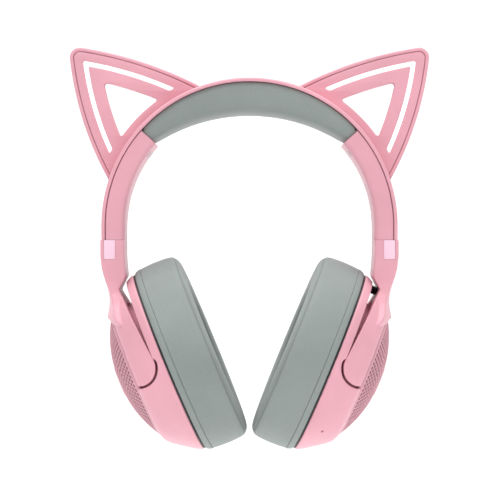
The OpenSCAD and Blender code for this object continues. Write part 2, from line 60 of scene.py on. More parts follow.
# ---------------------------------------------------------------- dimensions, millimetres
BAND_R = 76.4               # outer radius of the headband
CROWN_Z = 18.7
BAND_Z = CROWN_Z - BAND_R   # centre of the headband's arcs
SHELL_IN = 74.1
ARM_IN = 63.8
SEAM_Z = -64.5
HALF_TOP, HALF_SEAM = 19.0, 13.0
CUSHION_END = 48.4          # degrees from the crown
UNDER_R = 90.0              # arc on the head cushion's underside
EAR_OUT, EAR_OUT_R = np.array([-71.9, 47.6]), 166.0
EAR_TOP, EAR_TOP_R = np.array([116.7, -160.5]), 197.9
BAND_C = np.array([0.0, BAND_Z])
FOOT_R = BAND_R + 0.05
EAR_HALF = 4.5
RIM_W = 2.0
STRIP_IN, STRIP_W, STRIP_FOOT = 6.6, 2.5, 80.7
WINDOW_IN, WINDOW_FOOT = 15.3, 81.0
LEAN = math.radians(22.4)   # toe-in of the cups
CUP_X, CUP_Z = 41.7, -127.7
NARROW = 5.6                # half length less half width of a cup
PIVOT = np.array([-4.5, 14.2])
FORK_R, SHOULDER_R = 9.7, 10.8
SHELL_PROFILE = [(48.65, 0), (48.6, 1.2), (46.8, 4.7), (44.55, 7.9), (41.5, 12.2), (39.5, 14.8),
                 (37.4, 16.9), (34.2, 18.4)]
INNER_PROFILE = [(35.9, 2.0), (35.9, 4.7), (32.7, 17.4)]
ROOM_PROFILE = [(37.8, -6), (37.8, 4), (34.9, 19.2), (34.9, 19.8)]
PAD_R, PAD_TOP, PAD_FACE = 50.3, -4.5, -25.0
HOLE_R, HOLE_NARROW = 29.0, 3.8
ROOM_NARROW = 5.2           # of the yoke's inner room
PAD_BACK = 73.85            # radius of the back of the head cushion and arm covers
SEAM_GAP = 0.06             # half of the parting line between band and yoke
SIM_FRAMES = 20
HEAD_HELD_Z = -4.0         # the head cushion is held above this in its simulation
COLUMNS = 180               # points round an ear cushion
LEAD_U = -43.0              # of the lead, along the cup
GRILLE_R, GRILLE_NARROW, GRILLE_RIM, GRILLE_TOP = 34.0, 4.9, 18.2, 28.2
GRILLE_BALL = (GRILLE_R ** 2 + (GRILLE_TOP - GRILLE_RIM) ** 2) / (2 * (GRILLE_TOP - GRILLE_RIM))
MARKER_X, MARKER_Z = (69.0, 74.8), (-74.4, SEAM_Z - 0.1)
MIC_AT, WALL_SLOPE = -46, 5.3 / 7.5
SEAMS = ((48.45, -23.35),)  # sewn seams of an ear cushion, as half length and height


# ---------------------------------------------------------------- materials
def material(name):
    mat = bpy.data.materials.new(name)
    mat.use_nodes = True
    tree = mat.node_tree
    shader = tree.nodes["Principled BSDF"]
    place = tree.nodes.new("ShaderNodeTexCoord")
    return mat, tree, shader, place.outputs["Object"]


def noise(tree, coords, scale, detail=3.0, rough=0.5):
    node = tree.nodes.new("ShaderNodeTexNoise")
    node.inputs["Scale"].default_value = scale
    node.inputs["Detail"].default_value = detail
    node.inputs["Roughness"].default_value = rough
    tree.links.new(coords, node.inputs["Vector"])
    return node.outputs["Fac"]


def voronoi(tree, coords, scale, feature="DISTANCE_TO_EDGE"):
    node = tree.nodes.new("ShaderNodeTexVoronoi")
    node.feature = feature
    node.inputs["Scale"].default_value = scale
    tree.links.new(coords, node.inputs["Vector"])
    return node.outputs["Distance"]


def ramp(tree, value, stops):
    node = tree.nodes.new("ShaderNodeValToRGB")
    node.color_ramp.elements[0].position = stops[0][0]
    node.color_ramp.elements[0].color = (*stops[0][1], 1)
    node.color_ramp.elements[1].position = stops[-1][0]
    node.color_ramp.elements[1].color = (*stops[-1][1], 1)
    for at, colour in stops[1:-1]:
        node.color_ramp.elements.new(at).color = (*colour, 1)
    tree.links.new(value, node.inputs["Fac"])
    return node.outputs["Color"]


def spread(tree, value, low, high, start=0.3, end=0.7):
    node = tree.nodes.new("ShaderNodeMapRange")
    node.inputs["From Min"].default_value = start
    node.inputs["From Max"].default_value = end
    node.inputs["To Min"].default_value = low
    node.inputs["To Max"].default_value = high
    tree.links.new(value, node.inputs["Value"])
    return node.outputs["Result"]


def add(tree, a, b, weight):
    node = tree.nodes.new("ShaderNodeMath")
    node.operation = "MULTIPLY_ADD"
    node.inputs[1].default_value = weight
    tree.links.new(b, node.inputs[0])
    tree.links.new(a, node.inputs[2])
    return node.outputs[0]


def bump(tree, shader, height, depth, strength=1.0):
    node = tree.nodes.new("ShaderNodeBump")
    node.inputs["Distance"].default_value = depth
    node.inputs["Strength"].default_value = strength
    tree.links.new(height, node.inputs["Height"])
    tree.links.new(node.outputs["Normal"], shader.inputs["Normal"])


def shade(colour, gain):
    return tuple(min(1.0, c * gain) for c in colour)


def paint_shade(tree, colour, attribute, tone):
    """Multiplies a colour by tone where the mesh attribute is 1: painted shade in a hole or a seam's groove."""
    spot = tree.nodes.new("ShaderNodeAttribute")
    spot.attribute_name = attribute
    mix = tree.nodes.new("ShaderNodeMix")
    mix.data_type = "RGBA"
    mix.blend_type = "MULTIPLY"
    mix.inputs["B"].default_value = (*tone, 1)
    tree.links.new(spot.outputs["Fac"], mix.inputs["Factor"])
    tree.links.new(colour, mix.inputs["A"])
    return mix.outputs["Result"]


def mark(mesh, name, values):
    mesh.attributes.new(name, "FLOAT", "POINT").data.foreach_set("value", values)


def plastic(name, colour, rough=0.42, grain=2600, depth=0.00002, sheen=0.0, vary=0.05, pit_shade=None):
    """Moulded plastic: fine spark-eroded grain, slow colour drift and uneven gloss."""
    mat, tree, shader, at = material(name)
    drift = noise(tree, at, 38, 2)
    tint = ramp(tree, drift, [(0.3, shade(colour, 1 - vary)), (0.7, shade(colour, 1 + vary))])
    # painted shade: darkens the colour where the mesh marks a hole or groove
    if pit_shade:
        tint = paint_shade(tree, tint, "painted_shade", pit_shade)
    tree.links.new(tint, shader.inputs["Base Color"])
    fine = noise(tree, at, grain, 2)
    gloss = spread(tree, noise(tree, at, 420, 3), rough - 0.05, rough + 0.06)
    tree.links.new(gloss, shader.inputs["Roughness"])
    bump(tree, shader, fine, depth)
    shader.inputs["Specular IOR Level"].default_value = 0.45
    shader.inputs["Sheen Weight"].default_value = sheen
    return mat


def leatherette(name, colour):
    """Soft protein leather: pebble grain, faint creases and a dull sheen."""
    mat, tree, shader, at = material(name)
    pebble = voronoi(tree, at, 1500)
    crease = noise(tree, at, 260, 6, 0.6)
    drift = noise(tree, at, 30, 3)
    tint = ramp(tree, drift, [(0.3, shade(colour, 0.94)), (0.5, colour), (0.72, shade(colour, 1.06))])
    pores = ramp(tree, pebble, [(0.0, (0.82, 0.82, 0.82)), (0.12, (1, 1, 1))])
    mix = tree.nodes.new("ShaderNodeMix")
    mix.data_type = "RGBA"
    mix.blend_type = "MULTIPLY"
    mix.inputs["Factor"].default_value = 0.6
    tree.links.new(tint, mix.inputs["A"])
    tree.links.new(pores, mix.inputs["B"])
    # painted shade: the sewn seam's groove is darkened to 0.3
    tree.links.new(paint_shade(tree, mix.outputs["Result"], "painted_shade", (0.3, 0.3, 0.3)), shader.inputs["Base Color"])
    tree.links.new(spread(tree, crease, 0.5, 0.66), shader.inputs["Roughness"])
    bump(tree, shader, add(tree, crease, spread(tree, pebble, 0, 1, 0, 0.25), 0.55), 0.00009, 0.8)
    shader.inputs["Specular IOR Level"].default_value = 0.35
    shader.inputs["Sheen Weight"].default_value = 0.12
    shader.inputs["Sheen Roughness"].default_value = 0.5
    return mat


def metal(name, colour, rough=0.32, stretch=(40, 2400, 40)):
    """Brushed steel: long fine scratches along one way."""
    mat, tree, shader, at = material(name)
    squeeze = tree.nodes.new("ShaderNodeMapping")
    squeeze.inputs["Scale"].default_value = stretch
    tree.links.new(at, squeeze.inputs["Vector"])
    lines = noise(tree, squeeze.outputs["Vector"], 1, 4)
    tint = ramp(tree, lines, [(0.3, shade(colour, 0.88)), (0.7, shade(colour, 1.08))])
    tree.links.new(tint, shader.inputs["Base Color"])
    tree.links.new(spread(tree, lines, rough - 0.08, rough + 0.1), shader.inputs["Roughness"])
    bump(tree, shader, lines, 0.000012)
    shader.inputs["Metallic"].default_value = 1.0
    return mat


def cloth(name, colour):
    """Acoustic scrim: an open knit of crossed threads."""
    mat, tree, shader, at = material(name)
    waves = []
    for axis in ("X", "Z"):
        wave = tree.nodes.new("ShaderNodeTexWave")
        wave.bands_direction = axis
        wave.inputs["Scale"].default_value = 420
        wave.inputs["Distortion"].default_value = 0.6
        tree.links.new(at, wave.inputs["Vector"])
        waves.append(wave.outputs["Fac"])
    weave = add(tree, waves[0], waves[1], 1.0)
    tint = ramp(tree, weave, [(0.2, shade(colour, 0.35)), (1.0, shade(colour, 1.5))])
    tree.links.new(tint, shader.inputs["Base Color"])
    bump(tree, shader, weave, 0.0002)
    shader.inputs["Roughness"].default_value = 0.9
    return mat


def circuit(name):
    """Solder mask over copper tracks."""
    mat, tree, shader, at = material(name)
    track = voronoi(tree, at, 260)
    copper_edge, mask, mask_light = (0.10, 0.34, 0.16), (0.02, 0.12, 0.06), (0.02, 0.14, 0.07)
    tint = ramp(tree, track, [(0.03, copper_edge), (0.06, mask), (0.5, mask_light)])
    tree.links.new(tint, shader.inputs["Base Color"])
    tree.links.new(spread(tree, noise(tree, at, 500), 0.25, 0.4), shader.inputs["Roughness"])
    bump(tree, shader, track, 0.00004)
    return mat


def diffuser(name):
    """Milky light guide: white plastic with a painted glow, softer towards its edges."""
    mat, tree, shader, at = material(name)
    cloud = noise(tree, at, 160, 3)
    tint = ramp(tree, cloud, [(0.3, (0.93, 0.93, 0.94)), (0.7, (0.98, 0.98, 0.985))])
    tree.links.new(tint, shader.inputs["Base Color"])
    tree.links.new(tint, shader.inputs["Emission Color"])
    # painted glow: emission keeps the strip near white, though no lamp lights it
    shader.inputs["Emission Strength"].default_value = 0.5
    tree.links.new(spread(tree, cloud, 0.28, 0.36), shader.inputs["Roughness"])
    bump(tree, shader, noise(tree, at, 2000, 2), 0.00001)
    return mat


PINK = (0.79, 0.385, 0.455)
GREY = (0.285, 0.325, 0.312)
MATS = {
    "pink_shell": plastic("pink_shell", PINK, 0.40, sheen=0.08),
    # the grille's colour is darkened in its holes as painted shade
    "pink_grille": plastic("pink_grille", shade(PINK, 0.88), 0.5, pit_shade=(0.30, 0.22, 0.24)),
    "pink_keys": plastic("pink_keys", shade(PINK, 0.95), 0.34),
    "side_marker": plastic("side_marker", (0.98, 0.66, 0.80), 0.22, grain=900, depth=0.000008, vary=0.02),
    "spring_steel": metal("spring_steel", (0.58, 0.59, 0.61)),
    "screw_steel": metal("screw_steel", (0.40, 0.40, 0.42), 0.38, (900, 900, 900)),
    "black_plastic": plastic("black_plastic", (0.022, 0.021, 0.024), 0.5),
    "grey_leatherette": leatherette("grey_leatherette", GREY),
    "grey_plastic": plastic("grey_plastic", shade(GREY, 0.92), 0.5),
    "scrim_cloth": cloth("scrim_cloth", (0.05, 0.052, 0.055)),
    "light_diffuser": diffuser("light_diffuser"),
    "circuit_board": circuit("circuit_board"),
    "magnet_steel": metal("magnet_steel", (0.7, 0.7, 0.72), 0.2, (300, 300, 300)),
    "diaphragm_film": plastic("diaphragm_film", (0.06, 0.06, 0.07), 0.25),
    "port_steel": metal("port_steel", (0.6, 0.6, 0.62), 0.28, (700, 700, 700)),
    "battery_pouch": metal("battery_pouch", (0.6, 0.61, 0.63), 0.35, (500, 500, 500)),
    "cable_rubber": plastic("cable_rubber", (0.018, 0.018, 0.02), 0.62, 1500, 0.00004),
}
# painted shade: pink at a quarter brightness for the web seen in the gaps between the ear's covers
GAP_SHADE = plastic("painted_gap_shade", shade(PINK, 0.25), 0.7)


# ---------------------------------------------------------------- mesh tools
def make(name, verts, faces, mat, smooth_angle=38.0):
    """An object from points in millimetres."""
    mesh = bpy.data.meshes.new(name)
    mesh.from_pydata((np.asarray(verts, float) / 1000.0).tolist(), [], [list(map(int, f)) for f in faces])
    mesh.validate()
    obj = bpy.data.objects.new(name, mesh)
    bpy.context.scene.collection.objects.link(obj)
    mesh.materials.append(mat)
    outwards(mesh)
    soften(mesh, smooth_angle)
    return obj


def outwards(mesh):
    work = bmesh.new()
    work.from_mesh(mesh)
    bmesh.ops.recalc_face_normals(work, faces=work.faces)
    work.to_mesh(mesh)
    work.free()


def soften(mesh, angle):
    mesh.polygons.foreach_set("use_smooth", [True] * len(mesh.polygons))
    mesh.set_sharp_from_angle(angle=math.radians(angle))
    mesh.update()


def loft(rings, closed=False):
    """Verts and faces through rings of equal length, with fanned ends unless the loft is closed."""
    rings = np.asarray(rings, float)
    count, n = rings.shape[:2]
    verts = rings.reshape(-1, 3).tolist()
    faces = []
    for i in range(count if closed else count - 1):
        j = (i + 1) % count
        for k in range(n):
            m = (k + 1) % n
            faces.append((i * n + k, i * n + m, j * n + m, j * n + k))
    if not closed:
        for ring in (0, count - 1):
            verts.append(rings[ring].mean(0).tolist())
            hub = len(verts) - 1
            for k in range(n):
                faces.append((ring * n + k, ring * n + (k + 1) % n, hub))
    return verts, faces


def apply_modifiers(obj):
    graph = bpy.context.evaluated_depsgraph_get()
    mesh = bpy.data.meshes.new_from_object(obj.evaluated_get(graph))
    old = obj.data
    obj.modifiers.clear()
    obj.data = mesh
    bpy.data.meshes.remove(old)
    return obj


def boolean(obj, cutter, operation):
    mod = obj.modifiers.new("cut", "BOOLEAN")
    mod.object = cutter
    mod.operation = operation
    mod.solver = "MANIFOLD"
    apply_modifiers(obj)
    bpy.data.objects.remove(cutter)
    return obj


def melt(obj, voxel, passes, angle=55.0):
    """Merges overlapping solids into one skin and rounds its edges as a moulding's are."""
    mod = obj.modifiers.new("melt", "REMESH")
    mod.mode = "VOXEL"
    mod.voxel_size = voxel / 1000.0
    ease = obj.modifiers.new("ease", "SMOOTH")
    ease.factor = 0.5
    ease.iterations = passes
    apply_modifiers(obj)
    soften(obj.data, angle)
    return obj


def join(target, *others):
    work = bmesh.new()
    for obj in (target, *others):
        work.from_mesh(obj.data)
    work.to_mesh(target.data)
    work.free()
    for obj in others:
        bpy.data.objects.remove(obj)
    return target


def mirrored(obj, name):
    """A right-hand copy of a left-hand piece."""
    twin = obj.copy()
    twin.data = obj.data.copy()
    twin.name = name
    bpy.context.scene.collection.objects.link(twin)
    work = bmesh.new()
    work.from_mesh(twin.data)
    for vert in work.verts:
        vert.co.x = -vert.co.x
    bmesh.ops.reverse_faces(work, faces=work.faces)
    work.to_mesh(twin.data)
    work.free()
    return twin


def place(obj, body, slot, *replaced):
    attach(obj, body)
    if replaced:
        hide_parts(*replaced)
    return obj


def place_pair(obj, body, slot, node):
    """Puts a left-hand piece and its mirror image on their bodies."""
    twin = mirrored(obj, "right_" + obj.name.removeprefix("left_"))
    place(obj, body, slot, node)
    place(twin, body.replace("left", "right"), slot, node.replace("left", "right"))
    return obj, twin


# ---------------------------------------------------------------- shape functions
def half_width(z):
    """Front-to-back half width of the headband at height z."""
    return HALF_SEAM + (HALF_TOP - HALF_SEAM) * (z - SEAM_Z) / (CROWN_Z - SEAM_Z)


def band_stations(start, end, steps, leg_steps=4):
    """Points and outward directions round the headband, from angle start to end in degrees."""
    stations = []
    if start <= -90:
        stations += [((0, z), (-1, 0)) for z in np.linspace(SEAM_Z + SEAM_GAP, BAND_Z, leg_steps)[:-1]]
    for a in np.radians(np.linspace(max(start, -90), min(end, 90), steps)):
        stations.append(((0, BAND_Z), (math.sin(a), math.cos(a))))
    if end >= 90:
        stations += [((0, z), (1, 0)) for z in np.linspace(BAND_Z, SEAM_Z + SEAM_GAP, leg_steps)[1:]]
    return stations


def sweep(stations, section):
    """Rings of a section given as (radius, side, inset, share of the half width)."""
    rings = []
    for (ox, oz), (nx, nz) in stations:
        ring = []
        for r, side, inset, share in section:
            x, z = ox + nx * r, oz + nz * r
            ring.append((x, side * (half_width(z) - inset) * share, z))
        rings.append(ring)
    return rings


def corner(r, inset, radius, start, end, steps=5):
    """A rounded corner of a section about (r, inset), as (radius, inset) pairs."""
    turn = np.radians(np.linspace(start, end, steps))
    return [(r + radius * math.sin(t), inset - radius * math.cos(t)) for t in turn]


def both_sides(edge, top_shares, top_r, low_shares, low_r):
    """A closed section from one side's edge: up the right, across the top, down the left."""
    right = [(r, 1, inset, 1) for r, inset in edge]
    left = [(r, -1, inset, 1) for r, inset in reversed(edge)]
    top = [(top_r(s), 1, edge[-1][1], s) for s in top_shares]
    low = [(low_r(s), 1, edge[0][1], s) for s in low_shares]
    return right + top + left + low


def meet(c1, r1, c2, r2, side):
    d = np.linalg.norm(c2 - c1)
    u = (c2 - c1) / d
    a = (d * d + r1 * r1 - r2 * r2) / (2 * d)
    return c1 + a * u + side * math.sqrt(r1 * r1 - a * a) * np.array([-u[1], u[0]])


def heading(c, p):
    return math.atan2(p[1] - c[1], p[0] - c[0])


def arc(c, r, start, end, steps):
    turns = np.linspace(start, end, steps + 1)
    return [np.array(c) + r * np.array([math.cos(t), math.sin(t)]) for t in turns]


def ear_path(inset, foot, tip_r, corner_r=0.3):
    """Ear outline in x and z, moved inwards by inset, above a foot of radius foot."""
    tip = meet(EAR_OUT, EAR_OUT_R - inset - tip_r, EAR_TOP, EAR_TOP_R - inset - tip_r, 1)
    heel = meet(EAR_OUT, EAR_OUT_R - inset - corner_r, BAND_C, foot + corner_r, 1)
    toe = meet(EAR_TOP, EAR_TOP_R - inset - corner_r, BAND_C, foot + corner_r, -1)
    pi = math.pi
    return (arc(EAR_OUT, EAR_OUT_R - inset, heading(EAR_OUT, heel), heading(EAR_OUT, tip), 40)
            + arc(tip, tip_r, heading(EAR_OUT, tip), heading(EAR_TOP, tip), 12)[1:-1]
            + arc(EAR_TOP, EAR_TOP_R - inset, heading(EAR_TOP, tip), heading(EAR_TOP, toe), 40)
            + arc(toe, corner_r, heading(EAR_TOP, toe), heading(BAND_C, toe) + pi, 8)[1:-1]
            + arc(BAND_C, foot, heading(BAND_C, toe), heading(BAND_C, heel), 40)
            + arc(heel, corner_r, heading(BAND_C, heel) + pi, heading(EAR_OUT, heel) + 2 * pi, 8)[1:-1])


def light_v(shrink=0.0):
    """The light strip's V as one closed outline, with rounded ends."""
    out = ear_v_side(STRIP_IN + shrink, 0.9)
    back = ear_v_side(STRIP_IN + STRIP_W - shrink, 0.6)[::-1]
    return rounded_ends(out, back)


def ear_v_side(inset, tip_r):
    """One side of the V: along the outer edge, round the tip and along the top edge."""
    tip = meet(EAR_OUT, EAR_OUT_R - inset - tip_r, EAR_TOP, EAR_TOP_R - inset - tip_r, 1)
    foot = STRIP_FOOT + 0.4
    heel = meet(EAR_OUT, EAR_OUT_R - inset, BAND_C, foot, 1)
    toe = meet(EAR_TOP, EAR_TOP_R - inset, BAND_C, foot, -1)
    return (arc(EAR_OUT, EAR_OUT_R - inset, heading(EAR_OUT, heel), heading(EAR_OUT, tip), 36)
            + arc(tip, tip_r, heading(EAR_OUT, tip), heading(EAR_TOP, tip), 8)[1:-1]
            + arc(EAR_TOP, EAR_TOP_R - inset, heading(EAR_TOP, tip), heading(EAR_TOP, toe), 36))


def rounded_ends(out, back):
    """Closes two sides of a strip with blunt rounded ends."""
    return (out[1:-1] + bulge(out[-2], back[1], out[-1] - out[-2])
            + back[1:-1] + bulge(back[-2], out[1], back[-1] - back[-2]))


def bulge(a, b, forward, reach=0.55, steps=6):
    ahead = forward / np.linalg.norm(forward)
    shares = np.linspace(0, 1, steps + 1)[1:-1]
    return [a + (b - a) * t + ahead * reach * (4 * t * (1 - t)) ** 0.5 for t in shares]


def flat_piece(name, loops, front, back, mat, edge=0.35):
    """A plate in the x-z plane between y = front and y = back, with its edges rounded."""
    curve = bpy.data.curves.new(name, "CURVE")
    curve.dimensions = "2D"
    curve.fill_mode = "BOTH"
    curve.extrude = ((back - front) / 2 - edge) / 1000
    curve.bevel_depth = edge / 1000
    curve.bevel_resolution = 2
    curve.offset = -edge / 1000
    for loop in loops:
        spline = curve.splines.new("POLY")
        spline.points.add(len(loop) - 1)
        for point, at in zip(spline.points, loop):
            point.co = (at[0] / 1000, at[1] / 1000, 0, 1)
        spline.use_cyclic_u = True
    rough = bpy.data.objects.new(name + "_outline", curve)
    bpy.context.scene.collection.objects.link(rough)
    graph = bpy.context.evaluated_depsgraph_get()
    mesh = bpy.data.meshes.new_from_object(rough.evaluated_get(graph))
    bpy.data.objects.remove(rough)
    middle = (front + back) / 2000
    co = np.array([v.co for v in mesh.vertices])
    mesh.vertices.foreach_set("co", np.c_[co[:, 0], middle - co[:, 2], co[:, 1]].ravel())
    work = bmesh.new()
    work.from_mesh(mesh)
    bmesh.ops.remove_doubles(work, verts=work.verts, dist=2e-6)
    bmesh.ops.recalc_face_normals(work, faces=work.faces)
    work.to_mesh(mesh)
    work.free()
    mesh.name = name
    mesh.materials.clear()
    mesh.materials.append(mat)
    obj = bpy.data.objects.new(name, mesh)
    bpy.context.scene.collection.objects.link(obj)
    soften(mesh, 35)
    return obj


def to_world(points):
    """Points in the left cup's frame, as (down, front to back, outwards), in the row's frame."""
    p = np.asarray(points, float)
    c, s = math.cos(math.pi / 2 + LEAN), math.sin(math.pi / 2 + LEAN)
    u, y, w = p[..., 0], p[..., 1], p[..., 2]
    return np.stack([CUP_X + u * c + w * s, y, CUP_Z - u * s + w * c], -1)


def oval_point(half, angle, narrow):
    """A point of an oval of four arcs, where its normal points at angle."""
    k = narrow / 0.4
    c, s = math.cos(angle), math.sin(angle)
    if abs(s) > 0.8:
        centre, r = (0, -0.8 * k * math.copysign(1, s)), half + 0.4 * k
    else:
        centre, r = (0.6 * k * math.copysign(1, c), 0), half - 0.6 * k
    return centre[0] + r * c, centre[1] + r * s


def oval_ring(half, w, narrow, count=144):
    return [(*oval_point(half, 2 * math.pi * (i + 0.5) / count, narrow), w) for i in range(count)]


def dense(profile, step=0.8):
    """A profile with more points, on a smooth curve through the ones given."""
    pts = np.array(profile, float)
    out = []
    for i in range(len(pts) - 1):
        p0, p1, p2, p3 = pts[max(i - 1, 0)], pts[i], pts[i + 1], pts[min(i + 2, len(pts) - 1)]
        n = max(1, int(np.linalg.norm(p2 - p1) / step))
        for t in np.arange(n) / n:
            out.append(0.5 * ((2 * p1) + (p2 - p0) * t + (2 * p0 - 5 * p1 + 4 * p2 - p3) * t * t
                              + (3 * p1 - p0 - 3 * p2 + p3) * t ** 3))
    return out + [pts[-1]]


def oval_solid(name, profile, narrow, mat):
    rings = [to_world(oval_ring(half, w, narrow)) for half, w in profile]
    return make(name, *loft(rings), mat)


def prism(name, outline, front, back, mat):
    """An outline in the cup's x-z plane made solid from y = front to back."""
    rings = [to_world([(p[0], y, p[1]) for p in outline]) for y in (front, back)]
    return make(name, *loft(rings), mat)


def fork_outline(r, low_start, low_end):
    """Outline of the fork's arms from the front: a long wedge with a round end about the pivot."""
    up = math.sqrt(r * r - 16)
    end = [PIVOT + r * np.array([math.cos(t), math.sin(t)]) for t in np.radians(np.linspace(-90, 23, 24))]
    return [(-62, low_end + 0.9), (-44, low_end), (PIVOT[0] - 1.5, low_start)] + end + [
        (PIVOT[0] + up - 0.4, 32), (-62, 32)]


# ---------------------------------------------------------------- headband
def headband():
    crown = lambda s: BAND_R - 0.25 * s * s
    edge = [(SHELL_IN + 0.15, 0.25), (SHELL_IN + 0.3, 0.0)] + corner(BAND_R - 1.35, 1.1, 1.1, 0, 90)
    section = both_sides(edge, [0.66, 0.33, 0, -0.33, -0.66], crown,
                         [-0.6, 0, 0.6], lambda s: SHELL_IN + 0.15)
    rings = sweep(band_stations(-90, 90, 97), section)
    shell = make("headband_outer_shell", *loft(rings), MATS["pink_shell"])
    place(shell, "headband", "pink_shell", "headband_outer_shell")

    inner = lambda s: ARM_IN + 0.35 * s * s
    edge = ([(r, i) for r, i in corner(ARM_IN + 3.4, 3.2, 3.1, -90, 0, 8)]
            + [(70.0, 0.1), (73.5, 0.1), (PAD_BACK, 0.4)])
    section = both_sides(edge, [0.6, 0, -0.6], lambda s: PAD_BACK, [-0.7, -0.35, 0, 0.35, 0.7], inner)
    stations = band_stations(CUSHION_END + 0.1, 90, 30)
    cover = make("left_arm_cover", *loft(sweep(stations, section)), MATS["pink_shell"])
    twin = mirrored(cover, "right_arm_cover")
    place(cover, "headband", "pink_shell", "left_arm_cover")
    place(twin, "headband", "pink_shell", "right_arm_cover")


def head_cushion():
    """Padded crown cushion: a swollen pad with a rounded lower edge and a sewn edge at the base."""
    rings = []
    top = PAD_BACK
    for a in np.radians(np.linspace(-CUSHION_END + 0.05, CUSHION_END - 0.05, 64)):
        n = np.array([math.sin(a), math.cos(a)])
        b = BAND_Z + UNDER_R
        low = -b * n[1] + math.sqrt(max(0, (b * n[1]) ** 2 - b * b + UNDER_R ** 2))
        end = 1 - abs(math.degrees(a)) / CUSHION_END
        pinch = 0.5 * math.exp(-end * 26)
        ring = []
        for t in np.linspace(-1, 1, 29):
            half = half_width(BAND_Z + n[1] * 68) - 1.15
            swell = (1 - abs(t) ** 4.2) ** (1 / 2.6)
            r = top - 5.2 - (top - 5.2 - low - 0.35 - pinch) * swell
            ring.append((n[0] * r, t * (half - pinch), BAND_Z + n[1] * r))
        side = [(top - 4.0, 1), (top - 2.2, 1.0), (top - 0.9, 0.99), (top, 0.965), (top, 0.5), (top, 0),
                (top, -0.5), (top, -0.965), (top - 0.9, -0.99), (top - 2.2, -1.0), (top - 4.0, -1)]
        for r, share in side:
            half = half_width(BAND_Z + n[1] * 68) - 1.15
            ring.append((n[0] * r, share * (half - pinch), BAND_Z + n[1] * r))
        rings.append(ring)
    pad = make("head_cushion", *loft(rings), MATS["grey_leatherette"], 60)
    swell_pad(pad, lambda p: p[2] > HEAD_HELD_Z, 1.4, 0.5)
    place(pad, "headband", "grey_leatherette", "head_cushion")


def swell_pad(pad, pinned, pressure, cap):
    """Settles a pad as cloth under pressure; cap, in millimetres, limits how far a point may move.

    The shape is drawn already padded: these stiff settings move it by less than 0.1 mm.
    """
    start = np.array([v.co for v in pad.data.vertices])
    group = pad.vertex_groups.new(name="sewn")
    held = [i for i, p in enumerate(start * 1000) if pinned(p)]
    group.add(held, 1.0, "REPLACE")
    mod = pad.modifiers.new("swell", "CLOTH")
    cloth_set = mod.settings
    cloth_set.quality = 4
    cloth_set.mass = 0.2
    cloth_set.tension_stiffness = 40
    cloth_set.compression_stiffness = 40
    cloth_set.bending_stiffness = 6
    cloth_set.use_pressure = True
    cloth_set.uniform_pressure_force = pressure
    cloth_set.vertex_group_mass = "sewn"
    cloth_set.effector_weights.gravity = 0
    mod.collision_settings.use_collision = False
    mod.point_cache.frame_start, mod.point_cache.frame_end = 1, SIM_FRAMES
    scene = bpy.context.scene
    for step in range(1, SIM_FRAMES + 1):
        scene.frame_set(step)
    graph = bpy.context.evaluated_depsgraph_get()
    moved = np.array([v.co for v in pad.evaluated_get(graph).data.vertices])
    shift = moved - start
    length = np.linalg.norm(shift, axis=1, keepdims=True)
    limit = cap / 1000
    shift *= np.where(length > limit, limit / np.maximum(length, 1e-9), 1)
    pad.modifiers.clear()
    pad.data.vertices.foreach_set("co", (start + shift).ravel())
    pad.data.update()
    scene.frame_set(1)


# ---------------------------------------------------------------- cat ears
def ears():
    outline = ear_path(0, FOOT_R, 5.2)
    window = ear_path(WINDOW_IN, WINDOW_FOOT, 1.4, 1.2)
    hollow = ear_path(RIM_W, FOOT_R + 0.4, 3.4)
    rim = flat_piece("left_ear_frame", [outline, hollow], -EAR_HALF, EAR_HALF, MATS["pink_shell"], 0.75)
    backing = [ear_path(RIM_W - 0.6, FOOT_R, 3.0), ear_path(WINDOW_IN - 0.4, WINDOW_FOOT - 0.4, 1.6, 1.4)]
    # dark web between the covers, as painted shade in the gaps
    web = flat_piece("left_ear_web", backing, -1.0, 1.0, GAP_SHADE, 0.1)
    cover = [ear_path(RIM_W + 0.22, FOOT_R + 0.1, 3.2), window]
    front = flat_piece("left_ear_front_cover", [*cover, light_v()], -EAR_HALF + 0.05, -1.05,
                       MATS["pink_shell"], 0.3)
    rear = flat_piece("left_ear_rear_cover", cover, 1.05, EAR_HALF - 0.05, MATS["pink_shell"], 0.4)
    guide = flat_piece("left_ear_light_guide", [light_v(0.12)], -EAR_HALF + 0.2, -2.3,
                       MATS["light_diffuser"], 0.25)
    for piece, node in ((rim, "left_ear_frame"), (front, "left_ear_front_cover"),
                        (rear, "left_ear_rear_cover"), (guide, "left_ear_light_guide")):
        kind = "light_diffuser" if piece is guide else "pink_shell"
        twin = mirrored(piece, "right_" + piece.name.removeprefix("left_"))
        place(piece, "headband", kind, node)
        place(twin, "headband", kind, node.replace("left", "right"))
    place(mirrored(web, "right_ear_web"), "headband", "pink_shell")
    place(web, "headband", "pink_shell")


# ---------------------------------------------------------------- yokes
def neck_outline():
    outer = [(76.7, SEAM_Z + 0.5), (76.7, -72.8), (76.25, -79.1), (75.7, -82.2), (74.9, -85.3), (73.9, -88.4),
             (73.15, -91.5), (72.7, -94.7), (72.65, -97.8), (73.1, -100.9), (73.75, -104.0),
             (73.3, -107.2), (71.5, -108.2)]
    inner = [(66.0, -103.0), (62.7, -97.6), (66.9, -90.2), (63.3, -83.0), (63.7, -79.1), (64.2, -72.8),
             (64.2, SEAM_Z + 0.5)]
    return outer, inner


def bowed_neck():
    """The neck's outline drawn through from front to back, its outside bowed where it flares."""
    outer, inner = neck_outline()
    rings = []
    for y in np.linspace(-32, 32, 41):
        ring = [(x - y * y / 104 * smooth_step((-72 - z) / 26), y, z) for x, z in outer]
        rings.append(ring + [(x, y, z) for x, z in inner])
    return make("neck", *loft(rings), MATS["pink_shell"])


def smooth_step(t):
    t = min(1.0, max(0.0, t))
    return t * t * (3 - 2 * t)


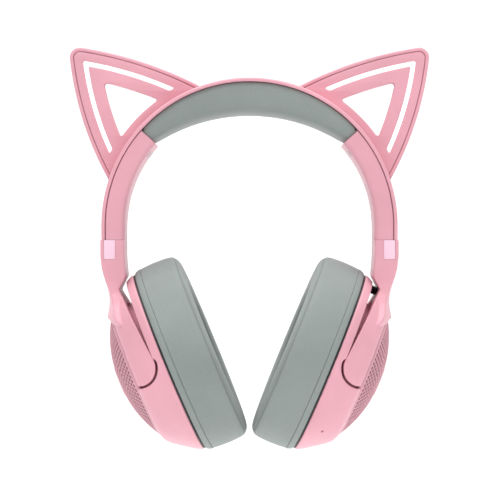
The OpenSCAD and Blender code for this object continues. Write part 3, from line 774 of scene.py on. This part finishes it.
def block(name, low, high, mat, edge=0.0):
    """A box between two corners, with its edges rounded."""
    xs, ys, zs = zip(low, high)
    base = ((xs[0], ys[0]), (xs[1], ys[0]), (xs[1], ys[1]), (xs[0], ys[1]))
    obj = make(name, [(x, y, z) for z in zs for x, y in base],
               [(0, 1, 2, 3), (4, 5, 6, 7), (0, 1, 5, 4), (1, 2, 6, 5), (2, 3, 7, 6), (3, 0, 4, 7)], mat)
    if edge:
        mod = obj.modifiers.new("edge", "BEVEL")
        mod.width = edge / 1000
        mod.segments = 3
        apply_modifiers(obj)
        soften(obj.data, 40)
    return obj


def side_outline():
    """The yoke's neck from the side: y against z."""
    half = [(13.0, SEAM_Z + 1.5), (13.0, -80.0), (13.3, -86.0), (14.6, -92.0), (17.4, -97.0),
            (21.5, -101.5), (26.0, -106.0), (29.0, -112.0)]
    return half + [(-y, z) for y, z in reversed(half)]


def yokes():
    pink = MATS["pink_shell"]
    fork = oval_solid("left_yoke", dense(SHELL_PROFILE), NARROW, pink)
    arms = fork_outline(FORK_R, PIVOT[1] - FORK_R + 0.1, 9.0)
    boolean(fork, prism("cut", arms, -60, 60, pink), "INTERSECT")
    boolean(fork, oval_solid("room", ROOM_PROFILE, ROOM_NARROW, pink), "DIFFERENCE")
    neck = bowed_neck()
    rings = [[(x, y, z) for y, z in side_outline()] for x in (50, 90)]
    boolean(neck, make("side", *loft(rings), pink), "INTERSECT")
    boolean(neck, oval_solid("room", ROOM_PROFILE, ROOM_NARROW, pink), "DIFFERENCE")
    boolean(neck, oval_solid("dome_room", [(33.6, 18), (33.6, 40)], ROOM_NARROW, pink), "DIFFERENCE")
    join(fork, neck)
    melt(fork, 0.55, 6)
    boolean(fork, block("flat", (60, -20, SEAM_Z - SEAM_GAP), (80, 20, SEAM_Z + 9), pink), "DIFFERENCE")
    seat = block("marker_seat", (MARKER_X[0] - 0.1, -16, MARKER_Z[0] - 0.1),
                 (MARKER_X[1] + 0.1, -12.3, SEAM_Z + 1), pink)
    boolean(fork, seat, "DIFFERENCE")
    soften(fork.data, 50)
    marker = block("left_side_marker", (MARKER_X[0], -13.02, MARKER_Z[0]), (MARKER_X[1], -12.2, MARKER_Z[1]),
                   MATS["side_marker"], 0.2)
    place_pair(marker, "left_yoke_arm", "side_marker", "left_side_marker")
    seal = block("left_neck_seal", (66.0, -11.8, SEAM_Z - 1.0), (75.5, 11.8, SEAM_Z + 0.04),
                 MATS["black_plastic"])
    twin = mirrored(seal, "right_neck_seal")
    place(seal, "left_yoke_arm", "black_plastic")
    place(twin, "right_yoke_arm", "black_plastic")
    place_pair(fork, "left_yoke_arm", "pink_shell", "left_yoke")


# ---------------------------------------------------------------- cups
def housing():
    pink = MATS["pink_shell"]
    body = oval_solid("left_cup_housing", dense(SHELL_PROFILE), NARROW, pink)
    boolean(body, prism("recess", fork_outline(SHOULDER_R, 4.75, 4.75), -60, 60, pink), "DIFFERENCE")
    join(body, oval_solid("inner", INNER_PROFILE, 6.3, pink))
    melt(body, 0.55, 4)
    seat = oval_solid("seat", [(GRILLE_R + 0.15, 16.6), (GRILLE_R + 0.15, 40)], GRILLE_NARROW, pink)
    boolean(body, seat, "DIFFERENCE")
    soften(body.data, 45)
    twin = mirrored(body, "right_cup_housing")
    place(twin, "right_cup", "pink_shell", "right_cup_housing")
    for node, grow in (("power_button", 0.2), ("volume_up_button", 0.2),
                       ("volume_down_button", 0.2), ("usb_c_port", 0.25)):
        boolean(body, grown_copy(node, grow), "DIFFERENCE")
    boolean(body, mic_hole(), "DIFFERENCE")
    soften(body.data, 45)
    place(body, "left_cup", "pink_shell", "left_cup_housing")


def grown_copy(node, grow):
    """A cutter in the shape of a CAD piece's hull, a little larger and pushed out through the wall."""
    source = nodes[node]
    co = np.array([v.co for v in source.data.vertices]) * 1000
    centre = co.mean(0)
    axis = principal_out(centre)
    away = co - centre
    lift = (away @ axis)[:, None] * axis
    across = away - lift
    reach = np.linalg.norm(across, axis=1, keepdims=True)
    across *= 1 + grow / np.maximum(reach, 0.5)
    wide = centre + across + lift
    points = np.vstack([wide, wide + axis * 4, wide - axis * 1.2])
    work = bmesh.new()
    for p in points:
        work.verts.new(p / 1000)
    bmesh.ops.remove_doubles(work, verts=work.verts, dist=0.00005)
    hull = bmesh.ops.convex_hull(work, input=work.verts)
    spare = {v for v in hull["geom_interior"] + hull["geom_unused"] if isinstance(v, bmesh.types.BMVert)}
    bmesh.ops.delete(work, geom=list(spare), context="VERTS")
    bmesh.ops.recalc_face_normals(work, faces=work.faces)
    mesh = bpy.data.meshes.new(node + "_cut")
    work.to_mesh(mesh)
    work.free()
    obj = bpy.data.objects.new(node + "_cut", mesh)
    bpy.context.scene.collection.objects.link(obj)
    return obj


def principal_out(centre):
    """The way a fitting in the left cup points: along its press, or down the cup for the socket."""
    for joint in frame["joints"]:
        child = joint["child"].replace("_key", "_press")
        if joint["name"] == child and np.linalg.norm(np.array(box_middle(joint["child"])) - centre) < 3:
            return -np.array(joint["axis"], float)
    return to_world([1, 0, 0]) - to_world([0, 0, 0])


def box_middle(body):
    node = list(frame["record"]["behaviour"]["bodies"][body])[0]
    low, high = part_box(node)
    return (np.array(low) + np.array(high)) * 500


def mic_hole():
    low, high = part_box("microphone")
    centre = (np.array(low) + np.array(high)) * 500
    turn = math.radians(MIC_AT)
    tilt = math.atan(WALL_SLOPE)
    local = [math.cos(turn) * math.cos(tilt), math.sin(turn) * math.cos(tilt), math.sin(tilt)]
    out = to_world(local) - to_world([0, 0, 0])
    out /= np.linalg.norm(out)
    a = np.cross(out, [0, 0, 1.0])
    a /= np.linalg.norm(a)
    b = np.cross(out, a)
    rings = []
    for d in (0.2, 8.0):
        rings.append([centre + out * d + 0.75 * (math.cos(t) * a + math.sin(t) * b)
                      for t in np.linspace(0, 2 * math.pi, 21)[:-1]])
    return make("mic_cut", *loft(rings), GAP_SHADE)


def grilles():
    """Domed grille: rings of small blind holes round a plain middle, inside a smooth rim."""
    pitch, dot = 2.05, 0.62
    columns = 720
    rim = [GRILLE_R - 0.35, GRILLE_R - 0.1, GRILLE_R]
    radii = np.concatenate([rim, np.linspace(33.2, 11.0, 76), [9.0, 7.0, 5.2]])
    radii = np.sort(np.unique(radii))[::-1]
    rings = [to_world(oval_ring(GRILLE_R, 16.8, GRILLE_NARROW, columns)),
             to_world(oval_ring(GRILLE_R, GRILLE_RIM - 0.5, GRILLE_NARROW, columns))]
    painted_shade = [0.0] * (2 * columns)
    for a in radii:
        z = GRILLE_TOP - GRILLE_BALL + math.sqrt(GRILLE_BALL ** 2 - a * a)
        if a > GRILLE_R - 0.3:
            z -= 0.5 * (a - GRILLE_R + 0.3) / 0.3
        row = round((a - 13.0) / pitch)
        centre = 13.0 + row * pitch
        count = round(2 * math.pi * centre / 2.1)
        ring = []
        for i in range(columns):
            angle = 2 * math.pi * (i + 0.5) / columns
            x, y = oval_point(max(a, 0.6 * GRILLE_NARROW / 0.4 + 0.01), angle, GRILLE_NARROW)
            depth = 0.0
            if 0 <= row <= 9:
                phase = angle * count / (2 * math.pi)
                along = (phase - round(phase)) * 2 * math.pi * centre / count
                far = math.hypot(along, a - centre)
                depth = 0.7 * max(0.0, 1 - (far / (dot + 0.28)) ** 2) ** 0.7
            ring.append((x, y, z - depth))
            # mask for the painted shade in each hole
            painted_shade.append(min(1.0, depth / 0.45))
        rings.append(to_world(ring))
    grille = make("left_grille", *loft(rings), MATS["pink_grille"], 70)
    mark(grille.data, "painted_shade", painted_shade + [0.0] * (len(grille.data.vertices) - len(painted_shade)))
    place_pair(grille, "left_cup", "pink_grille", "left_grille")


def cushion_profile():
    """Ear cushion section: hollow side, face, sewn edge, crowned outside and base."""
    return [(HOLE_R + 0.3, PAD_TOP), (HOLE_R - 0.05, -9), (HOLE_R + 0.1, -15), (HOLE_R + 0.7, -20),
            (HOLE_R + 2.3, -23.4), (HOLE_R + 5.0, -24.8), (37.5, PAD_FACE), (42.5, PAD_FACE),
            (45.6, -24.75), (48.0, -23.7), (49.2, -22.6),
            (50.05, -20.4), (50.45, -16), (50.5, -11), (50.3, -7), (PAD_R - 0.25, PAD_TOP)]


def ear_cushions():
    profile = dense(cushion_profile(), 0.55)
    rings = []
    for half, w in profile:
        share = min(1.0, max(0.0, (half - HOLE_R) / (PAD_R - HOLE_R)))
        narrow = HOLE_NARROW + (NARROW - HOLE_NARROW) * share
        rings.append(to_world(oval_ring(half, w, narrow, COLUMNS)))
    verts, faces = loft(rings, closed=True)
    pad = make("left_ear_cushion", verts, faces, MATS["grey_leatherette"], 60)
    flat = np.array(profile)
    sewn = {i for i, p in enumerate(flat) if min(np.hypot(p[0] - a, p[1] - b) for a, b in SEAMS) < 0.45
            or p[1] > PAD_TOP - 0.8}
    swell_rows(pad, sewn)
    groove(pad, flat)
    twin = mirrored(pad, "right_ear_cushion")
    for piece, side in ((pad, "left"), (twin, "right")):
        place(piece, side + "_cup", "grey_leatherette", side + "_ear_cushion")


def swell_rows(pad, sewn):
    order = {}
    co = np.array([v.co for v in pad.data.vertices]) * 1000
    for i in range(len(co)):
        order[tuple(np.round(co[i], 4))] = i // COLUMNS
    swell_pad(pad, lambda p: order.get(tuple(np.round(p, 4)), -1) in sewn, 2.2, 0.9)


def groove(pad, flat):
    """Draws the sewn seam in: a narrow valley with a small pucker at each stitch, marked for painted shade."""
    out = np.array([v.co for v in pad.data.vertices])
    normals = np.array([v.normal for v in pad.data.vertices])
    painted_shade = np.zeros(len(out))
    for i in range(len(out)):
        row, column = divmod(i, COLUMNS)
        half, w = flat[row]
        for a, b in SEAMS:
            far = math.hypot(half - a, w - b)
            pucker = 1 + 0.22 * math.sin(column * 2 * math.pi / 3)
            out[i] -= normals[i] * 0.0005 * math.exp(-(far / 0.42) ** 2) * pucker
            # mask for the painted shade along the seam
            painted_shade[i] = max(painted_shade[i], math.exp(-(far / 0.3) ** 2))
    pad.data.vertices.foreach_set("co", out.ravel())
    mark(pad.data, "painted_shade", painted_shade)
    pad.data.update()


def pad_rings():
    profile = [(33, -4.45), (46, -4.5), (49.7, -4.45), (50.15, -4.2), (50.2, -3.6), (49.5, -1.7),
               (49.0, -1.15), (48.6, -1.02), (33, -1.02)]
    rings = [to_world(oval_ring(half, w, NARROW, COLUMNS)) for half, w in profile]
    ring = make("left_pad_ring", *loft(rings, closed=True), MATS["grey_leatherette"], 40)
    place_pair(ring, "left_cup", "grey_leatherette", "left_pad_ring")


def lead():
    """Sleeved lead from the left yoke to the left cup: a short ribbed grommet."""
    rings = []
    for i, w in enumerate(np.linspace(9.6, 4.2, 40)):
        r = 2.15 + 0.3 * math.cos(i * 1.15)
        rings.append(to_world([(LEAD_U + r * math.cos(t), 1.15 * r * math.sin(t), w)
                               for t in np.linspace(0, 2 * math.pi, 29)[:-1]]))
    sleeve = make("left_lead_sleeve", *loft(rings), MATS["cable_rubber"])
    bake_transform(sleeve)
    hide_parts("left_lead")


def carried_over():
    """Better materials for the CAD pieces that are shown as they are."""
    slots = {row["node"]: row["material_slot"] for row in frame["record"]["subparts"]}
    for name, obj in nodes.items():
        if obj.hide_render:
            continue
        obj.data.materials.clear()
        obj.data.materials.append(MATS[slots[name]])
        soften(obj.data, 30)


# ---------------------------------------------------------------- stage
def stage():
    mat, tree, shader, at = material("paper_sweep")
    tint = ramp(tree, noise(tree, at, 3, 2), [(0.3, (0.93, 0.93, 0.93)), (0.7, (0.96, 0.96, 0.96))])
    tree.links.new(tint, shader.inputs["Base Color"])
    shader.inputs["Roughness"].default_value = 0.9
    floor_z, wall_y, width, curve_r = -360.0, 900.0, 4000.0, 500.0
    path = [(-2500.0, floor_z), (wall_y - curve_r, floor_z)]
    path += [(wall_y - curve_r + curve_r * math.sin(t), floor_z + curve_r - curve_r * math.cos(t))
             for t in np.linspace(0, math.pi / 2, 24)[1:]]
    path += [(wall_y, 3000.0)]
    verts = [(x, y, z) for y, z in path for x in (-width, width)]
    faces = [(2 * i, 2 * i + 1, 2 * i + 3, 2 * i + 2) for i in range(len(path) - 1)]
    sweep_obj = make("paper_sweep", verts, faces, mat, 60)

    world = bpy.data.worlds.new("studio")
    world.use_nodes = True
    world.node_tree.nodes["Background"].inputs["Color"].default_value = (1, 1, 1, 1)
    world.node_tree.nodes["Background"].inputs["Strength"].default_value = 0.47
    bpy.context.scene.world = world
    bpy.context.scene.view_settings.view_transform = "Standard"

    def softbox(name, at, aim, size, power):
        lamp = bpy.data.lights.new(name, "AREA")
        lamp.shape = "RECTANGLE"
        lamp.size, lamp.size_y = size
        lamp.energy = power
        obj = bpy.data.objects.new(name, lamp)
        bpy.context.scene.collection.objects.link(obj)
        obj.location = at
        obj.rotation_euler = (Vector(aim) - Vector(at)).to_track_quat("-Z", "Y").to_euler()

    softbox("key", (-0.4, -0.9, 1.1), (0, 0, -0.05), (0.8, 0.8), 9)
    softbox("fill", (0.9, -0.9, 0.2), (0, 0, -0.08), (0.8, 1.2), 2.2)
    softbox("wall_wash", (0, 0.0, 1.6), (0, 0.9, -0.1), (2.4, 0.6), 26)

    view = bpy.data.cameras.new("view")
    view.sensor_width = 36
    view.lens = 36 * 1000 / 260
    eye = bpy.data.objects.new("view", view)
    bpy.context.scene.collection.objects.link(eye)
    eye.location = (0.00026, -1.0, -0.0697)
    eye.rotation_euler = (math.pi / 2, 0, 0)
    bpy.context.scene.camera = eye


headband()
head_cushion()
ears()
yokes()
housing()
grilles()
ear_cushions()
pad_rings()
lead()
carried_over()
stage()
